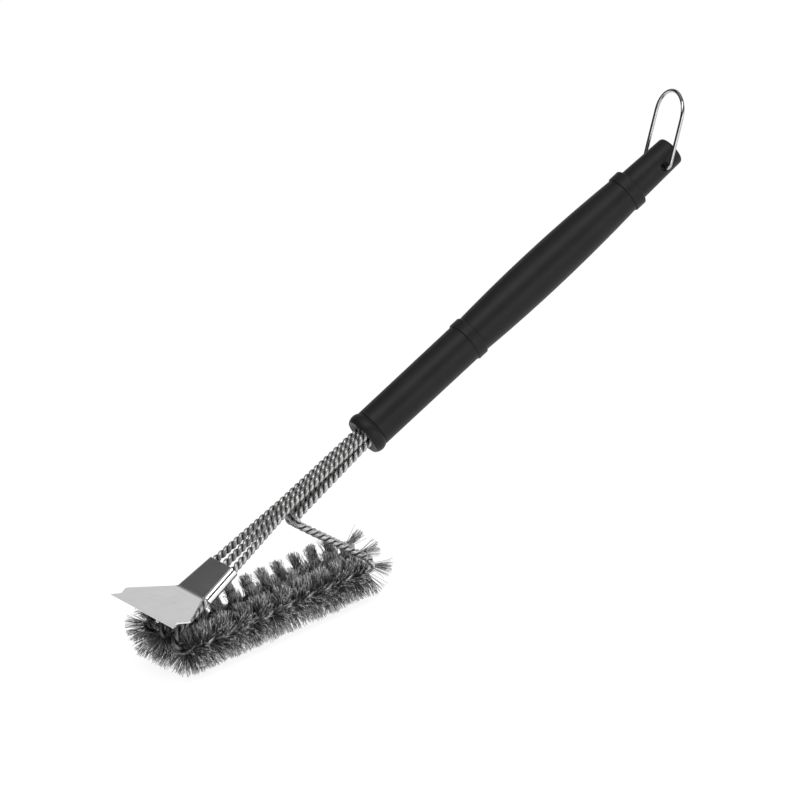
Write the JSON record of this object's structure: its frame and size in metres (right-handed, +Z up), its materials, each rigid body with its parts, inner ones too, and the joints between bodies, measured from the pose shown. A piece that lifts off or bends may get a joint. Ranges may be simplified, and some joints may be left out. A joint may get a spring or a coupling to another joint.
{
  "type": "grill cleaning brush",
  "caption": "Long-handled grill brush: spiral wire bristle rows on twisted-wire stems, a notched scraper blade at the front and a swinging wire loop on the butt.",
  "frame": {"origin": "on the plane of the bristle tips, under the middle of the bristle block; the brush stands on its bristles on this plane", "axes": "+X from the head towards the butt of the handle, along the bristle rows; +Y across the head, to the user's right; +Z up, away from the bristle tips"},
  "size_m": [0.4258, 0.0796, 0.2164],
  "materials": {
    "handle_plastic": "satin-matt moulded black plastic with a fine grain",
    "anchor_plastic": "dark grey moulded plastic",
    "wire_steel": "drawn stainless wire, satin",
    "bristle_steel": "dark drawn steel bristle wire",
    "sheet_steel": "fine brushed stainless sheet",
    "loop_wire": "bright plated wire"
  },
  "bodies": {
    "brush": {"butt_cap": "handle_plastic", "front_bolster": "handle_plastic", "front_sleeve": "handle_plastic", "left_bristles": "bristle_steel", "left_core": "wire_steel", "left_stem": "wire_steel", "left_strut": "wire_steel", "main_grip": "handle_plastic", "mid_ring": "handle_plastic", "middle_bristles": "bristle_steel", "middle_core": "wire_steel", "middle_stem": "wire_steel", "middle_strut": "wire_steel", "rear_ring": "handle_plastic", "right_bristles": "bristle_steel", "right_core": "wire_steel", "right_stem": "wire_steel", "right_strut": "wire_steel", "scraper": "sheet_steel", "wire_anchor": "anchor_plastic"},
    "loop": {"hanging_loop": "loop_wire"}
  },
  "joints": [
    {"name": "loop_swing", "type": "hinge", "parent": "brush", "child": "loop", "pos_m": [0.32235, 0, 0.17667], "axis": [0, 1, 0], "range_deg": [-121, 199]}
  ]
}
